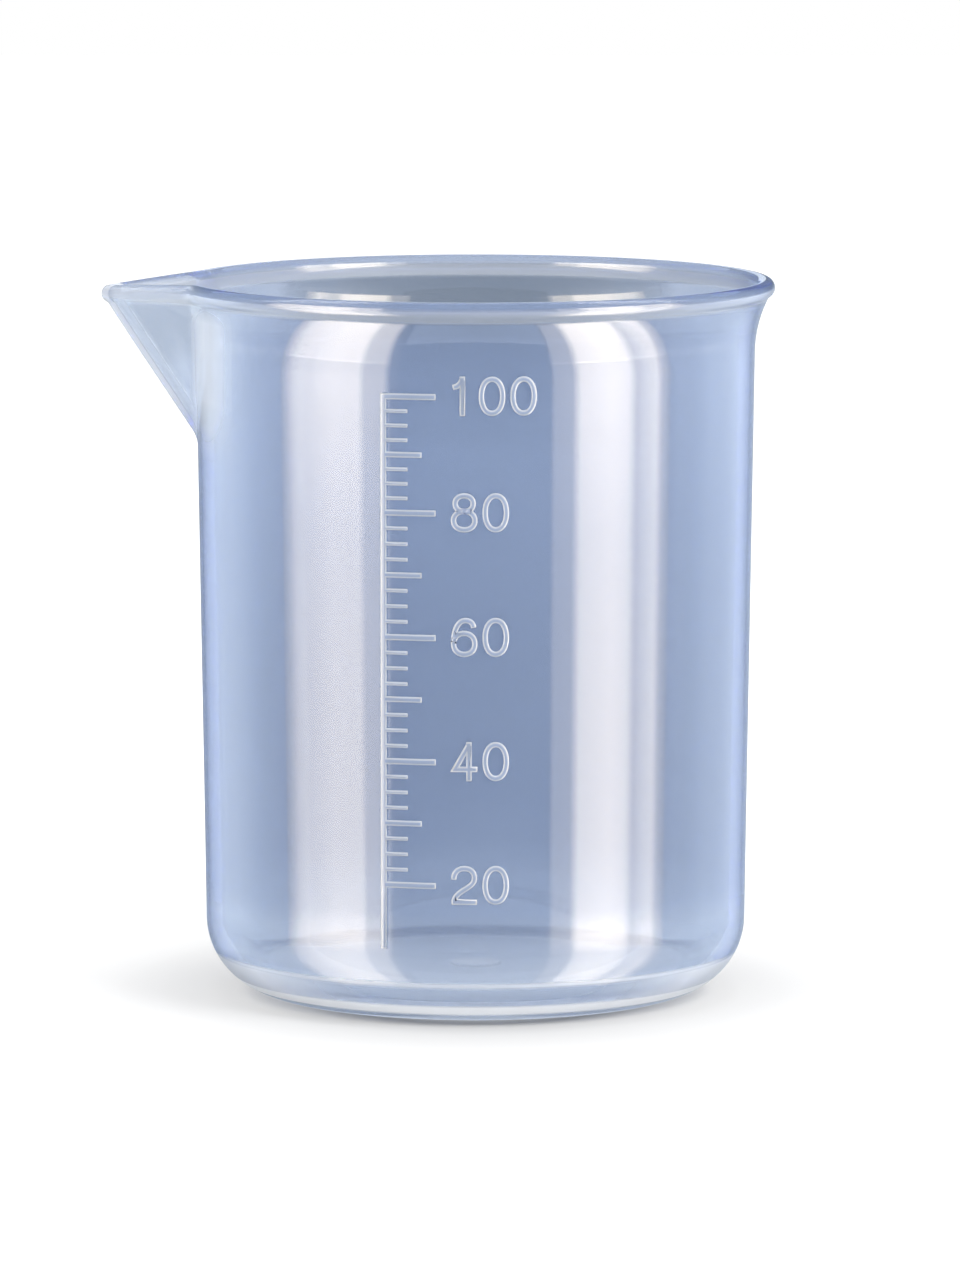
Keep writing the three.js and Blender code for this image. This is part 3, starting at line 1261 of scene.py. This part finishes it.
@dataclass
class Studio:
    """White table and room, soft lamps, what the cup reflects, and the camera.

    Attributes:
        floor_glow: Distance from the axis and glow of the table, as the camera sees it; the dip near
            the cup is painted shadow, added to the lamps' real shadow.
        floor_glow_through: The same for all other rays, such as those through the cup; it has
            painted shade around and behind the cup and a brighter painted ring under the edge of the
            foot, which also lights the cup from below.
        floor_bounce: Share of the glow that lights the cup.
        ceiling_start: Fade from the room to the ceiling, by the height of a direction.
        lamp_powers: Powers of the left and the right lamp.
    """

    floor_size: float = 3.0
    floor_drop: float = 0.05 * MM
    floor_colour: Colour = (0.35, 0.35, 0.35, 1.0)
    floor_roughness: float = 0.9
    floor_stretch: float = 0.8
    # Painted shadow: the glow dips around the cup where the camera sees the table.
    floor_glow: Stops = (
        (0.012, 0.5), (0.0165, 0.12), (0.019, 0.33), (0.022, 0.45), (0.0245, 0.5),
        (0.033, 0.63), (0.036, 0.68), (0.06, 0.85), (0.1, 1.0),
    )
    # Painted light and shade: a dim area around and behind the cup and a brighter ring under its
    # foot, for rays through the cup and for the light it gets.
    floor_glow_through: Stops = (
        (0.006, 0.3), (0.0136, 0.45), (0.0184, 0.62), (0.0272, 0.6), (0.04, 0.5),
        (0.12, 0.5), (0.24, 0.58), (0.4, 0.82), (0.56, 1.0),
    )
    floor_bounce: float = 0.8
    fill: float = 0.5
    room_colour: Colour = (0.86, 0.93, 1.0, 1.0)
    ceiling_colour: Colour = (0.3, 0.36, 0.5, 1.0)
    ceiling_start: Point = (0.25, 0.35)
    lamp_powers: Point = (0.9, 2.8)
    lamp_distance: float = 0.5
    lamp_bearing: float = math.radians(50)
    lamp_lift: float = 0.4
    lamp_size: float = 0.3
    top_lamp_power: float = 2.1
    top_lamp_height: float = 0.7
    panels: tuple[Panel, ...] = (LEFT_STRIP, RIGHT_STRIP, LEFT_PANEL, RIGHT_PANEL)
    panel_distance: float = 0.45
    panel_heights: Point = (-0.6, 0.3)
    panel_steps: int = 24
    card_colour: Colour = (0.1, 0.1, 0.1, 1.0)
    card_distance: float = 1.6
    card_half_angle: float = math.radians(34)
    card_heights: Point = (-1.2, 1.2)
    # Painted shade: the grey flag darkens the back of the rim as seen through the cup.
    flag_colour: Colour = (0.16, 0.2, 0.22, 1.0)
    flag_distance: float = 0.3
    flag_half_width: float = 0.07
    flag_heights: Point = (0.0345, 0.3)
    clear_bounces: int = 12
    camera_place: Triple = (0.000426, -0.868, 0.1405)
    camera_pitch: float = math.radians(7.03)
    lens: float = 258.7
    sensor_width: float = 36.0
    clip_start: float = 0.01

    def build_world(self) -> None:
        """White all round, with a bluer room and a darker ceiling in reflections."""
        world = bpy.data.worlds.new("studio")
        world.use_nodes = True
        bpy.context.scene.world = world
        graph = Graph(world.node_tree)
        ceiling = graph.axes()[2].beyond(*self.ceiling_start)
        room = graph.blend(ceiling, self.room_colour, self.ceiling_colour)
        colour = graph.blend(graph.ray(Ray.GLOSSY), WHITE, room)
        light = {"Color": colour, "Strength": graph.lit(self.fill)}
        sky = graph.node("ShaderNodeBackground", light)
        graph.node("ShaderNodeOutputWorld", {"Surface": sky.outputs[0]})

    def build_floor(self) -> None:
        """A white table top that keeps the cup's shadow, with painted shadow and a painted brighter
        ring in its glow near the cup.
        """
        material, graph = new_material("white_table")
        radius = graph.length(graph.stretched((1.0, self.floor_stretch, 1.0)))
        seen = graph.ramp(radius, self.floor_glow)
        through = graph.ramp(radius, self.floor_glow_through)
        surface = graph.node(
            "ShaderNodeBsdfPrincipled",
            {
                "Base Color": self.floor_colour,
                "Roughness": self.floor_roughness,
                "Specular IOR Level": 0.0,
                "Emission Color": through + graph.ray(Ray.CAMERA) * (seen - through),
                "Emission Strength": graph.lit(self.floor_bounce),
            },
        )
        graph.node("ShaderNodeOutputMaterial", {"Surface": surface.outputs[0]})
        bm = bmesh.new()
        bmesh.ops.create_grid(bm, size=self.floor_size / 2)
        bmesh.ops.translate(bm, verts=bm.verts, vec=(0, 0, -self.floor_drop))
        floor = to_object(bm, "table_top", material)
        hide(floor, Ray.GLOSSY)

    @staticmethod
    def bearing(angle: float, side: int) -> Vector:
        """Level direction at an angle from the front, to the right (1) or to the left (-1)."""
        return Vector((side * math.sin(angle), -math.cos(angle), 0))

    def build_lamp(self, place: Vector, power: float) -> None:
        """A soft lamp that lights the cup and stays out of its reflections.

        Args:
            place: Where it hangs, turned to the cup.
            power: Its power in watts.
        """
        light = bpy.data.lights.new("soft_lamp", "AREA")
        light.size = self.lamp_size
        light.energy = power
        lamp = bpy.data.objects.new("soft_lamp", light)
        bpy.context.scene.collection.objects.link(lamp)
        lamp.location = place
        lamp.rotation_euler = (-place).to_track_quat("-Z", "Y").to_euler()
        hide(lamp, Ray.CAMERA, Ray.TRANSMISSION, Ray.GLOSSY)

    def build_panel(self, panel: Panel) -> None:
        """A curved panel, which only shows in reflections.

        Args:
            panel: Its place and light.
        """
        material, graph = new_material("striped_panel")
        mirror = {0: graph.stretched((panel.side, 1, 1))}
        turn = graph.node("ShaderNodeTexGradient", mirror, {"gradient_type": "RADIAL"})
        from_front = graph.term(turn, "Fac") - 0.25
        level = graph.ramp(from_front * 360, panel.bands) * graph.ramp(graph.axes()[2], panel.fall)
        graph.shine(graph.blend(level, BLACK, panel.colour), panel.strength)
        start, end = (math.radians(panel.bands[i][0]) for i in (0, -1))
        near = self.bearing(start, panel.side) * self.panel_distance
        bm = bmesh.new()
        bm.edges.new([bm.verts.new((near.x, near.y, z)) for z in self.panel_heights])
        bmesh.ops.spin(
            bm,
            geom=bm.verts[:] + bm.edges[:],
            axis=(0, 0, 1),
            cent=(0, 0, 0),
            angle=panel.side * (end - start),
            steps=self.panel_steps,
        )
        sheet = to_object(bm, "striped_panel", material)
        hide(sheet, Ray.CAMERA, Ray.DIFFUSE, Ray.TRANSMISSION, Ray.SHADOW)

    def build_card(self) -> None:
        """A dark card behind the camera, which only shows in reflections."""
        material, graph = new_material("dark_card")
        graph.shine(self.card_colour)
        half_width = self.card_distance * math.tan(self.card_half_angle)
        bm = upright_sheet(half_width, self.card_heights, -self.card_distance)
        card = to_object(bm, "dark_card", material)
        hide(card, Ray.CAMERA, Ray.DIFFUSE, Ray.TRANSMISSION, Ray.SHADOW)

    def build_flag(self) -> None:
        """A small grey sheet of painted shade behind the cup, seen only through the wall at the back
        of the rim, which it darkens.
        """
        material, graph = new_material("painted_shade_flag")
        side = graph.axes()[0] * (1 / self.flag_half_width)
        graph.shine(graph.blend(side * side, self.flag_colour, WHITE))
        bm = upright_sheet(self.flag_half_width, self.flag_heights, self.flag_distance)
        flag = to_object(bm, "painted_shade_flag", material)
        hide(flag, Ray.CAMERA, Ray.DIFFUSE, Ray.GLOSSY, Ray.SHADOW)

    def build_camera(self) -> None:
        """The camera at the photograph's place."""
        data = bpy.data.cameras.new("camera")
        data.sensor_width = self.sensor_width
        data.lens = self.lens
        data.clip_start = self.clip_start
        camera = bpy.data.objects.new("camera", data)
        bpy.context.scene.collection.objects.link(camera)
        camera.location = self.camera_place
        camera.rotation_euler = (math.pi / 2 - self.camera_pitch, 0, 0)
        bpy.context.scene.camera = camera

    def build(self) -> None:
        """Sets up the whole studio."""
        bpy.context.scene.view_settings.view_transform = "Standard"
        bpy.context.scene.cycles.glossy_bounces = self.clear_bounces
        self.build_world()
        self.build_floor()
        self.build_lamp(Vector((0, 0, self.top_lamp_height)), self.top_lamp_power)
        for side, power in zip((-1, 1), self.lamp_powers):
            place = self.bearing(self.lamp_bearing, side) * self.lamp_distance
            self.build_lamp(place + Vector((0, 0, self.lamp_lift)), power)
        for panel in self.panels:
            self.build_panel(panel)
        self.build_card()
        self.build_flag()
        self.build_camera()


def main() -> None:
    """Builds the studio, the cup and its marks."""
    logging.basicConfig(level=logging.INFO, format="%(name)s %(message)s")
    # The second colour of each finish is its paler tint, for flow marks and painted light.
    body = CupPlastic("clear_blue", (0.442, 0.518, 0.66, 1.0), (0.89, 0.945, 1.0, 1.0), 0.88)
    marks = ReliefPlastic("pale_relief", (0.58, 0.68, 0.87, 1.0), (0.97, 0.99, 1.0, 1.0), 0.48)
    # Painted highlight: the gate mark's opaque, near-white finish stands for the bright highlight on
    # it.
    gate = Moulding(
        "gate_painted_highlight",
        (0.96, 0.95, 0.93, 1.0),
        (1.0, 0.99, 0.97, 1.0),
        transmission=0.0,
        alpha=1.0,
        ior=1.1,
        roughness=0.5,
        coat=0.0,
        glow=0.0,
    )
    form = CupForm()
    Studio().build()
    CupShell(form, body).build()
    relief = Relief(form)
    scale = GraduationScale(relief, marks)
    scale.build()
    Numerals(relief, marks, scale).build()
    GateMark(form, gate).build()


if __name__ == "__main__":
    main()
